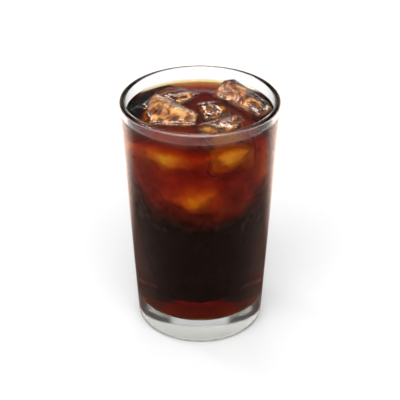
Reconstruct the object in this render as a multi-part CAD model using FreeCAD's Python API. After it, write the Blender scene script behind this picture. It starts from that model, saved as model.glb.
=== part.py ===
import FreeCAD, Part
import math
import os

# Iced coffee in its glass: a plain tapered tumbler, filled almost to the brim, with five blocks of
# ice breaking the surface. Millimetres, +Z up, origin in the middle of the foot.

# Glass
glass_height = 132.5
rim_radius = 42.0        # outside, at the mouth
foot_radius = 34.6       # outside wall carried straight down to the table
wall = 3.1               # measured level
base_thickness = 14.6    # solid glass under the coffee
heel_radius = 3.4        # round between foot and outside wall
well_radius = 1.3        # round between inside wall and floor
lip_radius = 1.4         # each edge of the mouth

# Coffee
fill_drop = 7.6          # from the mouth down to the surface
meniscus_rise = 1.0      # how far the coffee climbs the wall
meniscus_run = 2.4       # how far in from the wall it starts to climb

# Ice
ice_edge = 26.0          # a block before it melted; block shapes and places are in this unit
ice_rounding = 1.0       # melted edges
ice_wall_gap = 0.8       # between a block and the wall of the glass

surface = glass_height - fill_drop
up = FreeCAD.Vector(0, 0, 1)
centre_line = FreeCAD.Vector(0, 0, 0)


def outer_radius(z):
    """Outside of the straight wall at height z."""
    return foot_radius + (rim_radius - foot_radius) * z / glass_height


def inner_radius(z, gap=0.0):
    """Inside of the wall at height z, less a gap."""
    return outer_radius(z) - wall - gap


def turned(edges):
    """A solid of revolution from the edges of one half outline."""
    face = Part.Face(Part.Wire(edges))
    return face.revolve(centre_line, up, 360)


def straight(outline):
    """Line edges through (radius, height) points."""
    points = [FreeCAD.Vector(radius, 0, z) for radius, z in outline]
    return [Part.makeLine(start, end) for start, end in zip(points, points[1:])]


def round_rings(solid, radius, height, ring_radius):
    """Round the circular edge that lies at a height and a radius."""
    near = 0.01
    rings = []
    for edge in solid.Edges:
        box = edge.BoundBox
        level = abs(box.ZMax - height) < near and abs(box.ZMin - height) < near
        if level and abs(box.XMax - ring_radius) < near:
            rings.append(edge)
    return solid.makeFillet(radius, rings)


def make_glass():
    """The tumbler, one turned solid with a rounded mouth, heel and well."""
    floor = base_thickness
    outline = [(0, 0), (foot_radius, 0), (rim_radius, glass_height),
               (inner_radius(glass_height), glass_height), (inner_radius(floor), floor),
               (0, floor), (0, 0)]
    glass = turned(straight(outline))
    glass = round_rings(glass, heel_radius, 0, foot_radius)
    glass = round_rings(glass, well_radius, floor, inner_radius(floor))
    glass = round_rings(glass, lip_radius, glass_height, rim_radius)
    return round_rings(glass, lip_radius, glass_height, inner_radius(glass_height))


def inside_space(gap):
    """The room inside the glass, up to the mouth, held off the wall and floor by a gap."""
    floor = base_thickness + gap
    outline = [(0, floor), (inner_radius(floor, gap), floor),
               (inner_radius(glass_height, gap), glass_height), (0, glass_height), (0, floor)]
    space = turned(straight(outline))
    return round_rings(space, well_radius - gap, floor, inner_radius(floor, gap))


def make_liquid():
    """The coffee, filling the glass to its surface, with a meniscus that climbs the wall."""
    floor = base_thickness
    contact = surface + meniscus_rise
    wall_point = FreeCAD.Vector(inner_radius(contact), 0, contact)
    start_radius = inner_radius(surface) - meniscus_run
    start = FreeCAD.Vector(start_radius, 0, surface)
    run = wall_point.x - start_radius
    curl = (run ** 2 + meniscus_rise ** 2) / (2 * meniscus_rise)
    half_turn = math.asin(run / curl) / 2
    middle = FreeCAD.Vector(start_radius + curl * math.sin(half_turn), 0,
                            surface + curl * (1 - math.cos(half_turn)))
    edges = straight([(0, floor), (inner_radius(floor), floor), (wall_point.x, contact)])
    edges.append(Part.Arc(wall_point, middle, start).toShape())
    edges += straight([(start_radius, surface), (0, surface), (0, floor)])
    return round_rings(turned(edges), well_radius, floor, inner_radius(floor))


def slice_off(solid, direction, point):
    """Cut away what lies beyond a plane through a point, on the side that direction faces."""
    reach = 4 * ice_edge
    cutter = Part.makeBox(2 * reach, 2 * reach, reach, FreeCAD.Vector(-reach, -reach, 0))
    cutter.Placement = FreeCAD.Placement(point, FreeCAD.Rotation(up, FreeCAD.Vector(*direction)))
    return solid.cut(cutter)


def ice_block(length, width, depth, middle, turn, peak, facets, sides=()):
    """One melted block, in units of ice_edge, with places measured from the coffee's surface.

    A cuboid, turned on the spot, whose top is cut by facets that all meet at its peak. Each
    of the sides is one more cut, as a direction and a point that it passes through.
    """
    def place(x, y, z):
        return FreeCAD.Vector(x * ice_edge, y * ice_edge, surface + z * ice_edge)

    top_of_cuboid = 2 * peak[2]
    low_corner = FreeCAD.Vector(-length / 2 * ice_edge, -width / 2 * ice_edge, 0)
    block = Part.makeBox(length * ice_edge, width * ice_edge,
                         (depth + top_of_cuboid) * ice_edge, low_corner)
    block.Placement = FreeCAD.Placement(place(middle[0], middle[1], -depth),
                                        FreeCAD.Rotation(up, turn))
    for direction in facets:
        block = slice_off(block, direction, place(*peak))
    for direction, point in sides:
        block = slice_off(block, direction, place(*point))
    block = block.makeFillet(ice_rounding, block.Edges)
    return block.common(inside_space(ice_wall_gap))


def make_ice():
    """The blocks that break the surface, by node name."""
    return {
        "ice_left": ice_block(
            length=1.12, width=1.15, depth=0.77, middle=(-0.60, 0.03), turn=-4,
            peak=(-0.80, -0.05, 0.23),
            facets=[(0.0, -0.37, 0.93), (0.22, 0.19, 0.96), (-0.61, -0.15, 0.78)],
            sides=[((0.70, 0.70, 0.05), (-0.15, -0.12, 0.11)),
                   ((-0.80, 0.50, 0.30), (-0.87, 0.61, 0.12))]),
        "ice_back": ice_block(
            length=0.50, width=0.77, depth=0.69, middle=(-0.53, 0.79), turn=47,
            peak=(-0.18, 0.68, 0.08),
            facets=[(-0.10, 0.22, 0.97), (0.70, -0.50, 0.50)]),
        "ice_right": ice_block(
            length=1.31, width=0.62, depth=0.77, middle=(0.94, 0.52), turn=-46,
            peak=(0.48, 1.01, 0.25),
            facets=[(-0.37, -0.39, 0.85), (0.27, 0.03, 0.96)],
            sides=[((0.84, 0.54, 0.12), (1.12, 0.72, 0.0))]),
        "ice_middle": ice_block(
            length=0.63, width=0.63, depth=0.65, middle=(0.31, 0.05), turn=15,
            peak=(0.20, -0.01, 0.10),
            facets=[(-0.53, -0.07, 0.84), (0.15, -0.35, 0.93), (0.27, 0.15, 0.95)]),
        "ice_front": ice_block(
            length=0.92, width=0.78, depth=0.77, middle=(0.47, -0.77), turn=24,
            peak=(0.74, -0.32, 0.14),
            facets=[(-0.02, -0.25, 0.97), (0.60, -0.25, 0.76), (-0.42, 0.62, 0.66)],
            sides=[((-0.60, -0.25, 0.76), (0.0, -0.71, 0.08))]),
    }


parts = {"glass": make_glass()}
ice = make_ice()
coffee = make_liquid()
for block in ice.values():
    coffee = coffee.cut(block)
parts["coffee"] = coffee
parts.update(ice)

os.makedirs("parts", exist_ok=True)
for node, shape in parts.items():
    solid = shape.Solids[0]
    solid.exportStep("parts/" + node + ".step")
    print(node, len(shape.Solids), "solid,", round(solid.Volume / 1000, 2), "ml", solid.isValid())
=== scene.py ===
import math

import bmesh
import bpy
from mathutils import Matrix, Vector, noise
from mathutils.bvhtree import BVHTree


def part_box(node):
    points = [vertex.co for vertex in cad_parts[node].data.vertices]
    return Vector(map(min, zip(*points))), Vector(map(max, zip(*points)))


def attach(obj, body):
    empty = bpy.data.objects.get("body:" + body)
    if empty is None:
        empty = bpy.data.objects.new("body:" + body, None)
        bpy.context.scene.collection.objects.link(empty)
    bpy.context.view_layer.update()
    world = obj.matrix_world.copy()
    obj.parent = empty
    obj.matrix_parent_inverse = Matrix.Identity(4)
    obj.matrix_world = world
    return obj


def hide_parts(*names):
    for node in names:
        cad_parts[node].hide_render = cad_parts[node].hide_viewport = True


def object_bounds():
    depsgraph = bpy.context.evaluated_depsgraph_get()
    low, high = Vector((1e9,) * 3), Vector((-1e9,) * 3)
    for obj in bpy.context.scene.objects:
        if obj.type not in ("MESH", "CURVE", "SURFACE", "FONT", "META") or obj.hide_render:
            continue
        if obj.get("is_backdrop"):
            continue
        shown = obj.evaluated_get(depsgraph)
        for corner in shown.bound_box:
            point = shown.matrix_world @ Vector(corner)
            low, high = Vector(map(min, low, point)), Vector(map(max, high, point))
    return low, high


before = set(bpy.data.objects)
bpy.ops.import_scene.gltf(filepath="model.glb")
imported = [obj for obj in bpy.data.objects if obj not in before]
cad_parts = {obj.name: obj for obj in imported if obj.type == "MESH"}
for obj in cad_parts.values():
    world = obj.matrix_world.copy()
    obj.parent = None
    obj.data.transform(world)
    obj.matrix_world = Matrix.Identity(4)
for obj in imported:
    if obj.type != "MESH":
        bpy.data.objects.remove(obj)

cad_low, cad_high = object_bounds()
mm = 0.001

# ---------------------------------------------------------------- table, light and camera
# A white table under a white sky. The sky carries one broad soft light in front, two small
# lamps high on the left and behind, and a dark flag at each back corner, for the glass's edges.
# The table runs on to a bright horizon, so that the glass always has something pale behind it.
# Shiny surfaces see painted reflections: the table warm far back and nearly black in front, and
# the sky warm, though both light the scene in white.

table_reach = 12.0
table_drop = 0.05 * mm        # keeps the table off the foot, which stands on it
table_tone = (0.455, 0.455, 0.455, 1)
# painted reflections: the colours shiny surfaces see on the table, instead of its own white
painted_reflection_behind = (0.95, 0.72, 0.62, 1)      # the table as shiny surfaces see it, far back
painted_reflection_in_front = (0.08, 0.04, 0.03, 1)    # and from the glass forwards
behind_from, in_front_from = 170 * mm, 40 * mm

table_mesh = bpy.data.meshes.new("table")
table = bpy.data.objects.new("table", table_mesh)
bpy.context.scene.collection.objects.link(table)
plan = bmesh.new()
bmesh.ops.create_circle(plan, cap_ends=True, segments=96, radius=table_reach,
                        matrix=Matrix.Translation((0, 0, -table_drop)))
plan.to_mesh(table_mesh)
plan.free()

table_white = bpy.data.materials.new("table_white")
table_white.use_nodes = True
nodes, links = table_white.node_tree.nodes, table_white.node_tree.links
table_skin = nodes["Principled BSDF"]
table_skin.inputs["Roughness"].default_value = 0.9
table_skin.inputs["Specular IOR Level"].default_value = 0.0
ray = nodes.new("ShaderNodeLightPath")
place = nodes.new("ShaderNodeNewGeometry")
apart = nodes.new("ShaderNodeSeparateXYZ")
links.new(place.outputs["Position"], apart.inputs[0])
front = nodes.new("ShaderNodeMapRange")
front.interpolation_type = "SMOOTHSTEP"
front.inputs["From Min"].default_value = behind_from
front.inputs["From Max"].default_value = in_front_from
links.new(apart.outputs["Y"], front.inputs["Value"])
# painted reflection: glossy reflection rays see the table in these colours, not in its white tone
painted_table_reflection = nodes.new("ShaderNodeMix")
painted_table_reflection.data_type = "RGBA"
painted_table_reflection.inputs["A"].default_value = painted_reflection_behind
painted_table_reflection.inputs["B"].default_value = painted_reflection_in_front
links.new(front.outputs["Result"], painted_table_reflection.inputs["Factor"])
tone = nodes.new("ShaderNodeMix")
tone.data_type = "RGBA"
tone.inputs["A"].default_value = table_tone
links.new(painted_table_reflection.outputs["Result"], tone.inputs["B"])
mirror_ray = nodes.new("ShaderNodeMath")
mirror_ray.operation = "MULTIPLY"
links.new(ray.outputs["Is Reflection Ray"], mirror_ray.inputs[0])
links.new(ray.outputs["Is Glossy Ray"], mirror_ray.inputs[1])
links.new(mirror_ray.outputs[0], tone.inputs["Factor"])
links.new(tone.outputs["Result"], table_skin.inputs["Base Color"])
table_mesh.materials.append(table_white)
table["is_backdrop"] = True

horizon_light, low_light, top_light, least_light = 1.0, 0.20, 1.85, 0.05
low_from, low_to = 0.14, 0.34         # heights in the sky, 0 at the horizon and 1 overhead
top_from, top_to = 0.53, 0.72
# painted reflection: glossy reflection rays see the sky warm, while it lights the scene in white
sky_white, painted_sky_reflection = (1, 1, 1, 1), (1.0, 0.82, 0.72, 1)
# direction, how nearly a ray must face it for the light to start and to be full, brightness
lamps_and_flags = [
    ((-0.54, 0.33, 0.79), 0.9945, 0.9975, 22.0),
    ((0.0, 0.57, 0.82), 0.9945, 0.9975, 14.0),
    ((-0.10, -0.87, 0.48), 0.55, 0.85, 4.4),
    ((-0.62, 0.50, 0.60), 0.90, 0.96, -0.9),
    ((0.62, 0.50, 0.60), 0.90, 0.96, -0.9),
]

sky = bpy.data.worlds.new("studio")
bpy.context.scene.world = sky
sky.use_nodes = True
nodes, links = sky.node_tree.nodes, sky.node_tree.links
background = nodes["Background"]
heading = nodes.new("ShaderNodeTexCoord")


def sky_math(operation, *values):
    """A Math node in the sky; a value is a number or another node's output."""
    node = nodes.new("ShaderNodeMath")
    node.operation = operation
    for socket, value in zip(node.inputs, values):
        if isinstance(value, (int, float)):
            socket.default_value = value
        else:
            links.new(value, socket)
    return node.outputs[0]


def sky_step(value, start, end):
    """0 below start, 1 above end, eased between."""
    node = nodes.new("ShaderNodeMapRange")
    node.interpolation_type = "SMOOTHSTEP"
    node.inputs["From Min"].default_value = start
    node.inputs["From Max"].default_value = end
    links.new(value, node.inputs["Value"])
    return node.outputs["Result"]


def facing(direction):
    """How nearly a sky direction is this one, 1 when it is."""
    node = nodes.new("ShaderNodeVectorMath")
    node.operation = "DOT_PRODUCT"
    node.inputs[1].default_value = Vector(direction).normalized()
    links.new(heading.outputs["Generated"], node.inputs[0])
    return node.outputs["Value"]


height = facing((0, 0, 1))
low = sky_math("MULTIPLY", sky_step(height, low_from, low_to), low_light - horizon_light)
top = sky_math("MULTIPLY", sky_step(height, top_from, top_to), top_light - low_light)
light = sky_math("ADD", sky_math("ADD", horizon_light, low), top)
for direction, start, full, brightness in lamps_and_flags:
    lamp = sky_math("MULTIPLY", sky_step(facing(direction), start, full), brightness)
    light = sky_math("ADD", light, lamp)
light = sky_math("MAXIMUM", light, least_light)
links.new(light, background.inputs["Strength"])
# the sky's painted warm reflection, for glossy reflection rays only
ray = nodes.new("ShaderNodeLightPath")
painted_sky_tint = nodes.new("ShaderNodeMix")
painted_sky_tint.data_type = "RGBA"
painted_sky_tint.inputs["A"].default_value = sky_white
painted_sky_tint.inputs["B"].default_value = painted_sky_reflection
mirror_ray = sky_math("MULTIPLY", ray.outputs["Is Reflection Ray"],
                      ray.outputs["Is Glossy Ray"])
links.new(mirror_ray, painted_sky_tint.inputs["Factor"])
links.new(painted_sky_tint.outputs["Result"], background.inputs["Color"])

camera_distance = 650 * mm
camera_elevation = math.radians(30.63)
camera_aim = 0.5367 * cad_high.z
light_bounces = 32            # enough for rays that cross glass, coffee and ice
camera_data = bpy.data.cameras.new("camera")
camera_data.sensor_width = 36.0
camera_data.lens = 107.5
camera = bpy.data.objects.new("camera", camera_data)
bpy.context.scene.collection.objects.link(camera)
towards_camera = Vector((0, -math.cos(camera_elevation), math.sin(camera_elevation)))
camera.location = Vector((0, 0, camera_aim)) + camera_distance * towards_camera
camera.rotation_euler = towards_camera.to_track_quat("Z", "Y").to_euler()
bpy.context.scene.camera = camera
bpy.context.scene.view_settings.view_transform = "Standard"
for bounces in ("max_bounces", "transmission_bounces", "glossy_bounces",
                "transparent_max_bounces"):
    setattr(bpy.context.scene.cycles, bounces, light_bounces)

# ---------------------------------------------------------------- glass
# A machine-pressed tumbler of clear soda-lime glass: a straight tapered wall on a thick solid
# base. It is turned from a half outline, and has a fire-polished mouth and faint waves.

outer_foot = 34.6 * mm        # the straight wall carried down to the table
wall = 3.1 * mm
base_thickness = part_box("coffee")[0].z
heel_round = 3.4 * mm
well_round = 1.3 * mm
lip_round = 1.4 * mm
glass_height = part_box("glass")[1].z
outer_mouth = 42.0 * mm
turn_segments = 256
arc_steps = 10                # straight pieces in each round of the outline
longest_step = 4 * mm         # and the longest piece of a straight run
bend_margin = 0.25 * mm       # the first piece beside a round is this short
weld_gap = 0.001 * mm         # points nearer than this become one
underside_skin = 0.01 * mm    # what lies lower than this is the underside
foot_roughness = 0.09         # the ground underside, against a polished skin


def outside(z):
    """Outside radius of the wall at a height."""
    return outer_foot + (outer_mouth - outer_foot) * z / glass_height


def inside(z):
    """Inside radius of the wall at a height."""
    return outside(z) - wall


def rounded(corners):
    """Points of a half outline from (radius, height, round) corners.

    Each round becomes an arc tangent to its two sides. Straight runs are divided, closely
    beside an arc, so that the shading of the arc does not spread along them.
    """
    stations = []
    for i, (radius, z, bend) in enumerate(corners):
        here = Vector((radius, z))
        if not bend:
            stations.append([here])
            continue
        back = (Vector(corners[i - 1][:2]) - here).normalized()
        onward = (Vector(corners[i + 1][:2]) - here).normalized()
        half = back.angle(onward) / 2
        centre = here + (back + onward).normalized() * bend / math.sin(half)
        start = here + back * bend / math.tan(half) - centre
        sweep = start.angle_signed(here + onward * bend / math.tan(half) - centre)
        stations.append([centre + Matrix.Rotation(-sweep * k / arc_steps, 2) @ start
                         for k in range(arc_steps + 1)])
    points = list(stations[0])
    for station in stations[1:]:
        start, end = points[-1], station[0]
        run = (end - start).length
        if run > 3 * bend_margin:
            along = (end - start) / run
            middle = run - 2 * bend_margin
            parts = max(1, math.ceil(middle / longest_step))
            for k in range(parts + 1):
                points.append(start + along * (bend_margin + middle * k / parts))
        points += station
    return points


def turning_tree():
    """Geometry Nodes that turn a row of points round the vertical axis into a skin."""
    tree = bpy.data.node_groups.new("turned_skin", "GeometryNodeTree")
    face = tree.interface
    face.new_socket("Half outline", in_out="INPUT", socket_type="NodeSocketGeometry")
    for label in ("Segments", "Outline points"):
        face.new_socket(label, in_out="INPUT", socket_type="NodeSocketInt")
    face.new_socket("Material", in_out="INPUT", socket_type="NodeSocketMaterial")
    face.new_socket("Skin", in_out="OUTPUT", socket_type="NodeSocketGeometry")
    new, link = tree.nodes.new, tree.links.new
    given, made = new("NodeGroupInput"), new("NodeGroupOutput")

    def maths(operation, first, second):
        node = new("ShaderNodeMath")
        node.operation = operation
        for socket, value in zip(node.inputs, (first, second)):
            if isinstance(value, (int, float)):
                socket.default_value = value
            else:
                link(value, socket)
        return node.outputs[0]

    grid = new("GeometryNodeMeshGrid")
    link(maths("ADD", given.outputs["Segments"], 1), grid.inputs["Vertices X"])
    link(given.outputs["Outline points"], grid.inputs["Vertices Y"])
    index = new("GeometryNodeInputIndex").outputs[0]
    column = maths("FLOOR", maths("DIVIDE", maths("ADD", index, 0.5),
                                  given.outputs["Outline points"]), 0)
    row = maths("SUBTRACT", index, maths("MULTIPLY", column, given.outputs["Outline points"]))
    place = new("GeometryNodeInputPosition")
    sample = new("GeometryNodeSampleIndex")
    sample.data_type = "FLOAT_VECTOR"
    link(given.outputs["Half outline"], sample.inputs["Geometry"])
    link(place.outputs[0], sample.inputs["Value"])
    link(row, sample.inputs["Index"])
    apart = new("ShaderNodeSeparateXYZ")
    link(sample.outputs[0], apart.inputs[0])
    angle = maths("MULTIPLY", maths("DIVIDE", column, given.outputs["Segments"]), math.tau)
    together = new("ShaderNodeCombineXYZ")
    link(maths("MULTIPLY", apart.outputs["X"], maths("COSINE", angle, 0)), together.inputs["X"])
    link(maths("MULTIPLY", apart.outputs["X"], maths("SINE", angle, 0)), together.inputs["Y"])
    link(apart.outputs["Z"], together.inputs["Z"])
    put = new("GeometryNodeSetPosition")
    link(grid.outputs["Mesh"], put.inputs["Geometry"])
    link(together.outputs[0], put.inputs["Position"])
    weld = new("GeometryNodeMergeByDistance")
    weld.inputs["Distance"].default_value = weld_gap
    link(put.outputs[0], weld.inputs["Geometry"])
    smooth = new("GeometryNodeSetShadeSmooth")
    link(weld.outputs[0], smooth.inputs["Geometry"])
    real = new("GeometryNodeRealizeInstances")
    link(smooth.outputs[0], real.inputs["Geometry"])
    paint = new("GeometryNodeSetMaterial")
    link(real.outputs[0], paint.inputs["Geometry"])
    link(given.outputs["Material"], paint.inputs["Material"])
    link(paint.outputs[0], made.inputs["Skin"])
    return tree


def through_nodes(name, mesh, tree, **values):
    """A plain mesh object: the mesh put through a Geometry Nodes tree with these inputs."""
    carrier = bpy.data.objects.new(name, mesh)
    bpy.context.scene.collection.objects.link(carrier)
    modifier = carrier.modifiers.new("nodes", "NODES")
    modifier.node_group = tree
    for item in tree.interface.items_tree:
        label = item.name.replace(" ", "_").lower()
        if item.in_out == "INPUT" and label in values:
            modifier[item.identifier] = values[label]
    return baked(carrier)


def baked(carrier):
    """The object with its modifiers' result as its own mesh, and no modifiers."""
    depsgraph = bpy.context.evaluated_depsgraph_get()
    result = bpy.data.meshes.new_from_object(carrier.evaluated_get(depsgraph),
                                             preserve_all_data_layers=True, depsgraph=depsgraph)
    carrier.modifiers.clear()
    carrier.data = result
    result.name = carrier.name
    return carrier


def outline_mesh(points):
    """Loose points in a row, standing up from the axis."""
    mesh = bpy.data.meshes.new("half_outline")
    mesh.from_pydata([(radius, 0, z) for radius, z in points], [], [])
    return mesh


def shader(name):
    """A new node material and its Principled node."""
    material = bpy.data.materials.new(name)
    material.use_nodes = True
    return material, material.node_tree.nodes["Principled BSDF"]


def add_node(material, kind, **inputs):
    """A node in the material; an input is a plain value or another node's output."""
    node = material.node_tree.nodes.new(kind)
    for label, value in inputs.items():
        socket = node.inputs[label.replace("_", " ")]
        if isinstance(value, bpy.types.NodeSocket):
            material.node_tree.links.new(value, socket)
        else:
            socket.default_value = value
    return node


def wavy(material, principled, scale, depth):
    """A low relief in the shading: noise at this scale per metre, this deep in metres."""
    place = add_node(material, "ShaderNodeTexCoord")
    waves = add_node(material, "ShaderNodeTexNoise", Scale=scale, Detail=2.0,
                     Vector=place.outputs["Object"])
    relief = add_node(material, "ShaderNodeBump", Strength=1.0, Distance=depth,
                      Height=waves.outputs["Fac"])
    material.node_tree.links.new(relief.outputs["Normal"], principled.inputs["Normal"])


def absorbing(material, colour, density):
    """Fill the inside with a clear tint that deepens with distance."""
    output = material.node_tree.nodes["Material Output"]
    tint = add_node(material, "ShaderNodeVolumeAbsorption", Color=(*colour, 1), Density=density)
    material.node_tree.links.new(tint.outputs[0], output.inputs["Volume"])


def painted(material, name):
    """The value of one of the mesh's attributes, for the material's nodes."""
    node = add_node(material, "ShaderNodeAttribute")
    node.attribute_name = name
    return node.outputs["Fac"]


def mirror_where_dry(material, principled):
    """Full surface reflection where the skin is dry, almost none where it is wet."""
    dry = painted(material, "dry")
    tone = add_node(material, "ShaderNodeCombineColor", Red=dry, Green=dry, Blue=dry)
    material.node_tree.links.new(tone.outputs[0], principled.inputs["Specular Tint"])


def set_attribute(mesh, name, domain, values):
    """Paint one number on each point or face of the mesh."""
    layer = mesh.attributes.new(name, "FLOAT", domain)
    layer.data.foreach_set("value", values)


clear_glass, glass_skin = shader("clear_glass")
glass_skin.inputs["Base Color"].default_value = (1, 1, 1, 1)
glass_skin.inputs["Transmission Weight"].default_value = 1.0
dull = add_node(clear_glass, "ShaderNodeMath", Value=painted(clear_glass, "ground"))
dull.operation = "MULTIPLY"
dull.inputs[1].default_value = foot_roughness
clear_glass.node_tree.links.new(dull.outputs[0], glass_skin.inputs["Roughness"])
glass_skin.inputs["IOR"].default_value = 1.5
wavy(clear_glass, glass_skin, scale=45, depth=0.02 * mm)
absorbing(clear_glass, colour=(0.70, 0.76, 0.72), density=4)
mirror_where_dry(clear_glass, glass_skin)

glass_outline = rounded([
    (0, 0, 0),
    (outer_foot, 0, heel_round),
    (outer_mouth, glass_height, lip_round),
    (inside(glass_height), glass_height, lip_round),
    (inside(base_thickness), base_thickness, well_round),
    (0, base_thickness, 0),
])
turned = turning_tree()
glass = through_nodes("tumbler", outline_mesh(glass_outline), turned, segments=turn_segments,
                      outline_points=len(glass_outline), material=clear_glass)
wet_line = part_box("coffee")[1].z
dry = []
for vertex in glass.data.vertices:
    radius = math.hypot(vertex.co.x, vertex.co.y)
    inner = radius < inside(vertex.co.z) + wall / 2 and vertex.co.z > base_thickness / 2
    dry.append(0.0 if inner and vertex.co.z < wet_line else 1.0)
set_attribute(glass.data, "dry", "POINT", dry)
set_attribute(glass.data, "ground", "POINT",
              [float(vertex.co.z < underside_skin) for vertex in glass.data.vertices])
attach(glass, "root")
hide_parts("glass")

# ---------------------------------------------------------------- ice that breaks the surface
# Five blocks of clear ice, half melted: chipped, rounded edges, hollows and waves all over,
# dry above the coffee and wet below. Each is worked up from the solid block where it floats.

meniscus_rise = 1.0 * mm
coffee_level = wet_line - meniscus_rise
ice_names = [node for node in sorted(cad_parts) if node.startswith("ice_")]
ice_voxel = 0.6 * mm          # size of the ice's faces
melt_rounds = 5               # rounds of smoothing that round the edges off
sharp_shift = 0.35 * mm       # how far they move the sharpest edges
wave_size, wave_depth = 8.0, 0.30 * mm       # sizes across are in millimetres
pit_size, pit_depth = 3.2, 0.16 * mm
chip_size, chip_depth, chip_bias = 1.5, 0.40 * mm, 0.4
ice_wall_gap = 0.6 * mm
calm_run = 5 * mm             # depth over which the sunk part of a block turns smooth
calm_rounds = 60
soak = 1.2 * mm               # height over which the skin dries, above the coffee
frost_coarse, frost_fine = 4.0 * mm, 1.3 * mm
frost_patch, frost_edge, frost_most = 0.05, 0.05, 0.6


def held(value):
    """The value, held between 0 and 1."""
    return min(1.0, max(0.0, value))


def evened(block):
    """Build the block's skin again from even faces."""
    even = block.modifiers.new("even", "REMESH")
    even.mode = "VOXEL"
    even.voxel_size = ice_voxel
    return baked(block)


def softened(block, rounds):
    """Smooth the whole block."""
    soften = block.modifiers.new("soften", "SMOOTH")
    soften.factor = 0.5
    soften.iterations = rounds
    return baked(block)


def calmed(block, top, rounds):
    """Smooth the block below a height, and more with depth."""
    deep = block.vertex_groups.new(name="deep")
    for vertex in block.data.vertices:
        deep.add([vertex.index], held((top - vertex.co.z) / calm_run), "REPLACE")
    blur = block.modifiers.new("blur", "SMOOTH")
    blur.vertex_group = deep.name
    blur.iterations = rounds
    return baked(block)


def melted(name, source, seed):
    """A melted block from a rough closed mesh: even faces, softened chipped edges, waves."""
    block = bpy.data.objects.new(name, source)
    bpy.context.scene.collection.objects.link(block)
    evened(block)
    sharp = [vertex.co.copy() for vertex in block.data.vertices]
    softened(block, melt_rounds)
    mesh = block.data
    shift = Vector((seed * 1.7, seed * 0.9, seed * 2.3))
    edges = [min(1.0, (vertex.co - before).length / sharp_shift)
             for vertex, before in zip(mesh.vertices, sharp)]
    moves = []
    for vertex, edge in zip(mesh.vertices, edges):
        place = vertex.co / mm
        wave = noise.noise(place / wave_size + shift)
        pit = abs(noise.noise(place / pit_size - shift))
        chip = edge * (noise.noise(place / chip_size + shift) - chip_bias)
        moves.append(vertex.normal * (wave_depth * wave - pit_depth * pit + chip_depth * chip))
    for vertex, move in zip(mesh.vertices, moves):
        vertex.co += move
        reach = math.hypot(vertex.co.x, vertex.co.y)
        limit = inside(vertex.co.z) - ice_wall_gap
        if reach > limit:
            vertex.co.xy *= limit / reach
    mesh.polygons.foreach_set("use_smooth", [True] * len(mesh.polygons))
    mesh.update()
    set_attribute(mesh, "edge", "POINT", edges)
    return calmed(block, coffee_level - mm, calm_rounds)


def closed_copy(node):
    """The CAD node's skin as a welded mesh."""
    skin = bmesh.new()
    skin.from_mesh(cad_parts[node].data)
    bmesh.ops.remove_doubles(skin, verts=skin.verts, dist=weld_gap)
    mesh = bpy.data.meshes.new(node)
    skin.to_mesh(mesh)
    skin.free()
    return mesh


def mixed(material, amount, start, end):
    """A colour between two; each is a plain colour or another node's output."""
    node = add_node(material, "ShaderNodeMix")
    node.data_type = "RGBA"
    for label, value in (("Factor", amount), ("A", start), ("B", end)):
        if isinstance(value, bpy.types.NodeSocket):
            material.node_tree.links.new(value, node.inputs[label])
        else:
            node.inputs[label].default_value = value
    return node.outputs["Result"]


ice_clear, ice_skin = shader("ice_clear")
stained = mixed(ice_clear, painted(ice_clear, "dry"), (1, 1, 1, 1), (1.0, 0.90, 0.76, 1))
ice_clear.node_tree.links.new(stained, ice_skin.inputs["Base Color"])
ice_skin.inputs["Roughness"].default_value = 0.03
ice_skin.inputs["IOR"].default_value = 1.31
wavy(ice_clear, ice_skin, scale=420, depth=0.20 * mm)
mirror_where_dry(ice_clear, ice_skin)
absorbing(ice_clear, colour=(0.92, 0.77, 0.45), density=300)
ice_clear.node_tree.links.new(painted(ice_clear, "clear"),
                              ice_skin.inputs["Transmission Weight"])

ice_blocks = []
for number, node in enumerate(ice_names):
    block = melted(node.replace("ice", "ice_block"), closed_copy(node), seed=number + 1)
    block.data.materials.clear()
    block.data.materials.append(ice_clear)
    dry, clear = [], []
    for vertex, edge in zip(block.data.vertices, block.data.attributes["edge"].data):
        above = held((vertex.co.z - coffee_level) / soak)
        patch = (noise.noise(vertex.co / frost_coarse)
                 + 0.5 * noise.noise(vertex.co / frost_fine))
        frost = above * (frost_patch * max(0.0, patch) + frost_edge * edge.value)
        dry.append(above)
        clear.append(1.0 - min(frost_most, frost))
    set_attribute(block.data, "dry", "POINT", dry)
    set_attribute(block.data, "clear", "POINT", clear)
    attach(block, "root")
    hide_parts(node)
    ice_blocks.append(block)

# ---------------------------------------------------------------- cloudy hearts of the ice
# The middle of a block freezes last and traps air, and coffee has soaked into its cracks: a
# ragged lump a little way under the skin, pale in patches, amber to dark between them. Its
# upward faces carry a painted shade, darker against the light that falls on them from above.

heart_depth = 1.1 * mm        # under the skin of the block, everywhere
heart_drop = 2.0 * mm         # and this much more under its top
heart_rag = 5.2 * mm          # how deep its hollows go
rag_size, rag_fine = 5.0, 2.0                # millimetres across
patch_size, patch_fine = 4.6, 1.9
level_from = 0.3              # how level a face must be to count as the top
heart_rounds, heart_calm_rounds = 2, 90
heart_pale = {"ice_left": 0.72, "ice_back": 0.60, "ice_right": 0.58,
              "ice_middle": 0.55, "ice_front": 0.56}
# painted shade: how much darker the upward faces of a heart are painted
painted_top_shade, sunk_paler = 0.30, 0.3
sunk_below, sunk_run = 2 * mm, 3 * mm        # depth at which the heart pales and thins
veil = 0.10                   # how much a faded skin still covers, seen square on
least_faded, fade_below, fade_run = 0.5, 0.62, 0.34
shell_sizes = (0.96, 0.90, 0.82, 0.70)       # skins inside the heart, which build up a haze


def toned(material, amount, stops):
    """A colour that runs through (amount, colour) stops."""
    node = add_node(material, "ShaderNodeValToRGB", Fac=amount)
    steps = node.color_ramp.elements
    for step, (position, colour) in zip(steps, (stops[0], stops[-1])):
        step.position = position
        step.color = (*colour, 1)
    for position, colour in stops[1:-1]:
        steps.new(position).color = (*colour, 1)
    return node.outputs["Color"]


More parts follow.
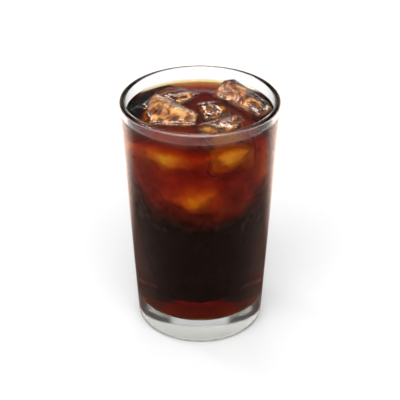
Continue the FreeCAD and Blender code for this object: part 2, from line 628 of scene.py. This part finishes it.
cloud, cloud_skin = shader("ice_cloud")
cloud_skin.inputs["Roughness"].default_value = 0.35
cloud_skin.inputs["IOR"].default_value = 1.31
shades = toned(cloud, painted(cloud, "pale"), [
    (0.25, (0.03, 0.008, 0.002)), (0.55, (0.42, 0.15, 0.02)), (1.0, (0.98, 0.88, 0.62))])
cloud.node_tree.links.new(shades, cloud_skin.inputs["Base Color"])
turn = add_node(cloud, "ShaderNodeLayerWeight", Blend=0.5)
thin = add_node(cloud, "ShaderNodeMapRange", Value=turn.outputs["Facing"])
thin.inputs["From Min"].default_value = 0.0
thin.inputs["From Max"].default_value = 0.9
thin.inputs["To Min"].default_value = veil
thin.inputs["To Max"].default_value = 0.0
cover = add_node(cloud, "ShaderNodeMix", A=1.0, B=thin.outputs["Result"],
                 Factor=painted(cloud, "under"))
cloud.node_tree.links.new(cover.outputs["Result"], cloud_skin.inputs["Alpha"])


def nested(block):
    """Add smaller copies of a closed lump inside it, so that veils build up to a haze."""
    skin = bmesh.new()
    skin.from_mesh(block.data)
    middle = sum((vertex.co for vertex in skin.verts), Vector()) / len(skin.verts)
    whole = list(skin.verts) + list(skin.edges) + list(skin.faces)
    for size in shell_sizes:
        copy = bmesh.ops.duplicate(skin, geom=whole)["geom"]
        for item in copy:
            if isinstance(item, bmesh.types.BMVert):
                item.co = middle + (item.co - middle) * size
    skin.to_mesh(block.data)
    skin.free()


for number, (node, block) in enumerate(zip(ice_names, ice_blocks), start=1):
    heart = bpy.data.objects.new(block.name + "_cloud", block.data.copy())
    bpy.context.scene.collection.objects.link(heart)
    shift = Vector((number * 3.1, number * 1.3, number * 0.7))
    moves = []
    for vertex in heart.data.vertices:
        place = vertex.co / mm
        rag = max(0.0, noise.noise(place / rag_size + shift)
                  + 0.4 * noise.noise(place / rag_fine - shift))
        drop = heart_drop * max(0.0, vertex.normal.z - level_from)
        moves.append(vertex.normal * -(heart_depth + drop + heart_rag * rag))
    for vertex, move in zip(heart.data.vertices, moves):
        vertex.co += move
    heart.data.materials.clear()
    softened(evened(heart), heart_rounds)
    calmed(heart, coffee_level, heart_calm_rounds)
    shades, faded = [], []
    for vertex in heart.data.vertices:
        place = vertex.co / mm
        patch = (noise.noise(place / patch_size - shift)
                 + 0.3 * noise.noise(place / patch_fine + shift))
        level = max(0.0, vertex.normal.z - level_from)
        sunk = held((coffee_level - sunk_below - vertex.co.z) / sunk_run)
        # painted shade: the upward faces are made darker; the rest is the heart's own patchy tone
        shade = heart_pale[node] + patch - painted_top_shade * level + sunk_paler * sunk
        shades.append(shade)
        faded.append(max(least_faded, sunk, held((fade_below - shade) / fade_run)))
    set_attribute(heart.data, "pale", "POINT", shades)
    set_attribute(heart.data, "under", "POINT", faded)
    nested(heart)
    heart.data.polygons.foreach_set("use_smooth", [True] * len(heart.data.polygons))
    heart.data.materials.clear()
    heart.data.materials.append(cloud)
    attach(heart, "root")

# ---------------------------------------------------------------- ice under the surface
# More blocks, cloudy with trapped air, frozen and jammed together below the floating ones.
# They show only as soft patches through the coffee, so they are one lumpy body, pale and near
# the wall where a block presses against it. Lower down it is painted near black, a painted
# shade for ice too deep to be lit, and its very top is painted darker too.

pack_low, pack_high = 17 * mm, 118 * mm
# the rest of this section's sizes are in millimetres, and its headings in degrees
pack_depth = 9.6              # coffee between the ice and the wall, on the whole
least_depth = 1.6             # and the least there is anywhere
lean_in, lean_below = 0.09, 84         # how fast the pack leaves the wall, from this height down
pack_lumps = [(9, 1.6), (4, 0.9), (1.8, 0.35)]      # size across and height of its lumps
end_round, end_draw = 5, 10   # height of its rounded ends, and how far they draw in
noise_radius = 30             # where round the glass the lumps are sampled
# where a block presses nearer the wall: heading, height, half width, half height, how much
near_wall = [
    (-92, 90, 22, 9, 5.2),
    (-120, 90, 12, 5, 2.4),
    (-78, 98, 9, 6, 2.0),
    (-130, 116, 24, 12, 6.0),
    (-110, 115, 13, 8, 3.2),
    (-170, 113, 15, 9, 6.0),
    (-62, 118, 22, 12, 7.2),
    (-66, 103, 18, 5, -2.6),
    (-98, 104, 16, 4, -2.2),
    (-24, 104, 10, 14, 6.4),
    (-160, 100, 16, 12, 3.0),
    (-62, 78, 16, 8, 3.4),
    (150, 98, 20, 10, 5.6),
    (95, 90, 22, 10, 5.4),
    (45, 97, 20, 11, 5.2),
    (5, 88, 16, 10, 4.6),
]
# where the pack reaches up between the floating blocks: heading, half width, how far
reaches_up = [(-126, 26, 2.0), (-62, 20, 3.5), (-24, 14, 2.0)]
# painted shade: below this height the pack is painted near black, turning pale over the run above
# it
painted_shade_top, painted_shade_run = 66, 26   # where the ice starts to look pale, and over what height
painted_shade_lumps = [(11, 9), (4, 5)]         # size across and height of the haze's uneven edge
painted_shade_curve = 1.5
crown_pale, crown_run = 0.4, 4         # how pale the very top is, and how deep that goes

ice_sunk, sunk_skin = shader("ice_sunk")
sunk_skin.inputs["Roughness"].default_value = 0.5
sunk_skin.inputs["Specular IOR Level"].default_value = 0.0
place = add_node(ice_sunk, "ShaderNodeTexCoord")
mottle = add_node(ice_sunk, "ShaderNodeTexNoise", Scale=110.0, Detail=4.0, Roughness=0.6,
                  Vector=place.outputs["Object"])
pale = toned(ice_sunk, mottle.outputs["Fac"], [(0.35, (0.75, 0.75, 0.75)),
                                               (0.60, (0.98, 0.98, 0.98))])
# painted shade: near black where the pack is shaded, its pale mottled ice elsewhere
pale_and_painted_shade = mixed(ice_sunk, painted(ice_sunk, "cloudy"), (0.01, 0.01, 0.01, 1), pale)
ice_sunk.node_tree.links.new(pale_and_painted_shade, sunk_skin.inputs["Base Color"])


def turned_from(heading, middle):
    """How far one heading is turned from another, -180 to 180."""
    return (heading - middle + 180) % 360 - 180


pack = bmesh.new()
turns, levels = 240, 150
columns, cloudy = [], []
for i in range(turns):
    heading = 360 * i / turns - 180
    across = Vector((math.cos(math.radians(heading)), math.sin(math.radians(heading)), 0))
    up = sum(amount * math.exp(-(turned_from(heading, middle) / half_width) ** 4)
             for middle, half_width, amount in reaches_up)
    top = pack_high + up * mm
    column = []
    for k in range(levels + 1):
        z = pack_low + (top - pack_low) * k / levels
        place = noise_radius * across + Vector((0, 0, z / mm))
        depth = pack_depth + lean_in * max(0.0, lean_below - z / mm)
        for middle, height_there, half_width, half_height, amount in near_wall:
            spread = ((turned_from(heading, middle) / half_width) ** 2
                      + ((z / mm - height_there) / half_height) ** 2)
            depth -= amount * math.exp(-spread ** 1.5)
        depth += sum(amount * noise.noise(place / size) for size, amount in pack_lumps)
        end = held(min(z - pack_low, top - z) / (end_round * mm))
        depth += end_draw * (1 - math.sqrt(1 - (1 - end) ** 2))
        radius = inside(z) - max(least_depth, depth) * mm
        # painted shade below, pale above, with an uneven edge and a darker very top
        above_painted_shade = z / mm - painted_shade_top
        above_painted_shade += sum(amount * noise.noise(place / size) for size, amount in painted_shade_lumps)
        crown = crown_pale + (1 - crown_pale) * held((top - z) / (crown_run * mm))
        cloudy.append(crown * held(above_painted_shade / painted_shade_run) ** painted_shade_curve)
        column.append(pack.verts.new((radius * across.x, radius * across.y, z)))
    columns.append(column)
foot = pack.verts.new((0, 0, pack_low))
head = pack.verts.new((0, 0, pack_high))
cloudy += [0.0, crown_pale]
for i in range(turns):
    here, onward = columns[i], columns[(i + 1) % turns]
    for k in range(levels):
        pack.faces.new((here[k], onward[k], onward[k + 1], here[k + 1]))
    pack.faces.new((foot, onward[0], here[0]))
    pack.faces.new((here[-1], onward[-1], head))
pack_mesh = bpy.data.meshes.new("ice_pack")
pack.to_mesh(pack_mesh)
pack.free()
set_attribute(pack_mesh, "cloudy", "POINT", cloudy)
pack_mesh.polygons.foreach_set("use_smooth", [True] * len(pack_mesh.polygons))
pack_mesh.materials.append(ice_sunk)
ice_pack = bpy.data.objects.new("ice_pack", pack_mesh)
bpy.context.scene.collection.objects.link(ice_pack)
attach(ice_pack, "root")

# ---------------------------------------------------------------- bubbles
# Pinhead bubbles of air and beads of melt water, caught along the chipped edges of the ice
# and in the corner where the coffee climbs it. They are strewn over the blocks by rule. They
# are pale and mostly opaque, so that they show as bright specks: painted glints on real beads.

bead_small, bead_large = 0.16 * mm, 0.34 * mm
beads_per_area = 2.4e6        # on one square metre of the sharpest edges
bead_line, bead_line_run = 0.7 * mm, 0.35 * mm     # the row just above the coffee
bead_line_share = 0.8         # how crowded that row is, against the sharpest edges
beads_from = 0.4 * mm         # above the coffee, on edges
sharp_from = 0.55             # how sharp an edge must be to hold beads
bead_patch = 5 * mm           # size of the bare and the crowded stretches

# painted glints: pale and mostly opaque, so each bead shows as a bright speck
bead_clear, bead_skin = shader("bead_clear")
bead_skin.inputs["Base Color"].default_value = (1.0, 0.93, 0.86, 1)
bead_skin.inputs["Roughness"].default_value = 0.05
bead_skin.inputs["IOR"].default_value = 1.33
bead_skin.inputs["Transmission Weight"].default_value = 0.15


def strewing_tree():
    """Geometry Nodes that strew small beads over a skin, as thickly as its "beads" attribute."""
    tree = bpy.data.node_groups.new("strewn_beads", "GeometryNodeTree")
    face = tree.interface
    face.new_socket("Skin", in_out="INPUT", socket_type="NodeSocketGeometry")
    for label in ("Density", "Smallest", "Largest"):
        face.new_socket(label, in_out="INPUT", socket_type="NodeSocketFloat")
    face.new_socket("Seed", in_out="INPUT", socket_type="NodeSocketInt")
    face.new_socket("Material", in_out="INPUT", socket_type="NodeSocketMaterial")
    face.new_socket("Beads", in_out="OUTPUT", socket_type="NodeSocketGeometry")
    new, link = tree.nodes.new, tree.links.new
    given, made = new("NodeGroupInput"), new("NodeGroupOutput")
    wanted = new("GeometryNodeInputNamedAttribute")
    wanted.data_type = "FLOAT"
    wanted.inputs["Name"].default_value = "beads"
    thick = new("ShaderNodeMath")
    thick.operation = "MULTIPLY"
    link(wanted.outputs["Attribute"], thick.inputs[0])
    link(given.outputs["Density"], thick.inputs[1])
    strew = new("GeometryNodeDistributePointsOnFaces")
    link(given.outputs["Skin"], strew.inputs["Mesh"])
    link(thick.outputs[0], strew.inputs["Density"])
    link(given.outputs["Seed"], strew.inputs["Seed"])
    size = new("FunctionNodeRandomValue")
    size.data_type = "FLOAT"
    link(given.outputs["Smallest"], size.inputs[2])
    link(given.outputs["Largest"], size.inputs[3])
    link(given.outputs["Seed"], size.inputs["Seed"])
    ball = new("GeometryNodeMeshIcoSphere")
    ball.inputs["Radius"].default_value = 1.0
    ball.inputs["Subdivisions"].default_value = 2
    put = new("GeometryNodeInstanceOnPoints")
    link(strew.outputs["Points"], put.inputs["Points"])
    link(ball.outputs["Mesh"], put.inputs["Instance"])
    link(size.outputs[1], put.inputs["Scale"])
    real = new("GeometryNodeRealizeInstances")
    link(put.outputs[0], real.inputs["Geometry"])
    smooth = new("GeometryNodeSetShadeSmooth")
    link(real.outputs[0], smooth.inputs["Geometry"])
    paint = new("GeometryNodeSetMaterial")
    link(smooth.outputs[0], paint.inputs["Geometry"])
    link(given.outputs["Material"], paint.inputs["Material"])
    link(paint.outputs[0], made.inputs["Beads"])
    return tree


strewn = strewing_tree()
for number, block in enumerate(ice_blocks):
    skin = block.data.copy()
    wanted = []
    for vertex, edge in zip(skin.vertices, block.data.attributes["edge"].data):
        above = vertex.co.z - coffee_level
        waterline = bead_line_share * math.exp(-((above - bead_line) / bead_line_run) ** 2)
        sharp = max(0.0, edge.value - sharp_from) / (1 - sharp_from)
        patch = max(0.0, 0.5 + 1.2 * noise.noise(vertex.co / bead_patch))
        wanted.append(min(1.0, patch * max(waterline, sharp if above > beads_from else 0.0)))
    set_attribute(skin, "beads", "POINT", wanted)
    beads = through_nodes(block.name + "_beads", skin, strewn, density=beads_per_area,
                          smallest=bead_small, largest=bead_large, seed=number + 5,
                          material=bead_clear)
    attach(beads, "root")

# ---------------------------------------------------------------- coffee
# Clear black coffee, amber where it is thin. It fills the glass almost to the mouth, wets the
# wall and every block with a small climbing edge, and has a hollow for each block of ice.

soak_in = 0.03 * mm           # how far the coffee's skin lies inside the glass
soak_ice = 0.15 * mm          # and how far inside the ice, so that no film of air shows
meniscus_run = 2.4 * mm       # how far in from the glass the surface starts to climb
climb_steps = 8
climb, climb_reach = 0.8 * mm, 1.3 * mm      # the smaller climb at each block of ice
ring_count = 64               # rings of faces across the open surface
level_face = 0.2              # how level a face must be to count as the open surface
surface_skin = 0.1 * mm       # points down to this far under the surface climb at the ice

coffee_dark, coffee_skin = shader("coffee_dark")
coffee_skin.inputs["Base Color"].default_value = (1, 1, 1, 1)
coffee_skin.inputs["Transmission Weight"].default_value = 1.0
coffee_skin.inputs["Roughness"].default_value = 0.0
coffee_skin.inputs["IOR"].default_value = 1.33
absorbing(coffee_dark, colour=(0.90, 0.68, 0.0), density=820)
mirror_where_dry(coffee_dark, coffee_skin)

climb_start = inside(coffee_level) - meniscus_run
climb_run = inside(wet_line) - climb_start
curl = (climb_run ** 2 + meniscus_rise ** 2) / (2 * meniscus_rise)
climbing = []
for k in range(climb_steps + 1):
    x = climb_run * k / climb_steps
    climbing.append(Vector((climb_start + x, coffee_level + curl - math.sqrt(curl ** 2 - x ** 2))))
side = rounded([
    (0, base_thickness - soak_in, 0),
    (inside(base_thickness) + soak_in, base_thickness - soak_in, well_round),
    (inside(wet_line) + soak_in, wet_line, 0),
])
rings = [Vector((climb_start * (1 - k / ring_count), coffee_level))
         for k in range(1, ring_count + 1)]
coffee_outline = side + climbing[::-1] + rings
coffee = through_nodes("coffee_drink", outline_mesh(coffee_outline), turned,
                       segments=turn_segments, outline_points=len(coffee_outline),
                       material=coffee_dark)
for block in ice_blocks:
    tree = BVHTree.FromObject(block, bpy.context.evaluated_depsgraph_get())
    for vertex in coffee.data.vertices:
        if vertex.co.z > coffee_level - surface_skin:
            hit, normal, _, distance = tree.find_nearest(vertex.co)
            if (vertex.co - hit).dot(normal) < 0:
                distance = 0.0
            vertex.co.z += climb * math.exp(-distance / climb_reach)
coffee.data.update()
# a second material slot marks the open surface, since the cut keeps it on each face
coffee.data.materials.append(coffee_dark)
for polygon in coffee.data.polygons:
    top_face = polygon.normal.z > level_face and polygon.center.z > coffee_level - mm
    polygon.material_index = int(top_face)
cutters = []
for block in ice_blocks:
    cutter = bpy.data.objects.new("hollow", block.data.copy())
    cutter.data.materials.clear()
    bpy.context.scene.collection.objects.link(cutter)
    for vertex, source in zip(cutter.data.vertices, block.data.vertices):
        vertex.co = source.co - source.normal * soak_ice
    cutters.append(cutter)
    cut = coffee.modifiers.new("cut", "BOOLEAN")
    cut.operation = "DIFFERENCE"
    cut.solver = "MANIFOLD"
    cut.object = cutter
baked(coffee)
for cutter in cutters:
    bpy.data.objects.remove(cutter)
open_top = [float(polygon.material_index == 1) for polygon in coffee.data.polygons]
coffee.data.polygons.foreach_set("material_index", [0] * len(open_top))
coffee.data.materials.clear()
coffee.data.materials.append(coffee_dark)
# what was painted on the ice came along with the cut
for layer in ("dry", "edge", "clear"):
    if layer in coffee.data.attributes:
        coffee.data.attributes.remove(coffee.data.attributes[layer])
set_attribute(coffee.data, "dry", "FACE", open_top)
coffee.data.polygons.foreach_set("use_smooth", [True] * len(open_top))
rim = bmesh.new()
rim.from_mesh(coffee.data)
for edge in rim.edges:
    if len(edge.link_faces) == 2:
        first, second = (open_top[face.index] for face in edge.link_faces)
        edge.smooth = first == second
rim.to_mesh(coffee.data)
rim.free()
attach(coffee, "root")
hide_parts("coffee")

# ---------------------------------------------------------------- sizes of the drawn scene

low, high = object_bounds()
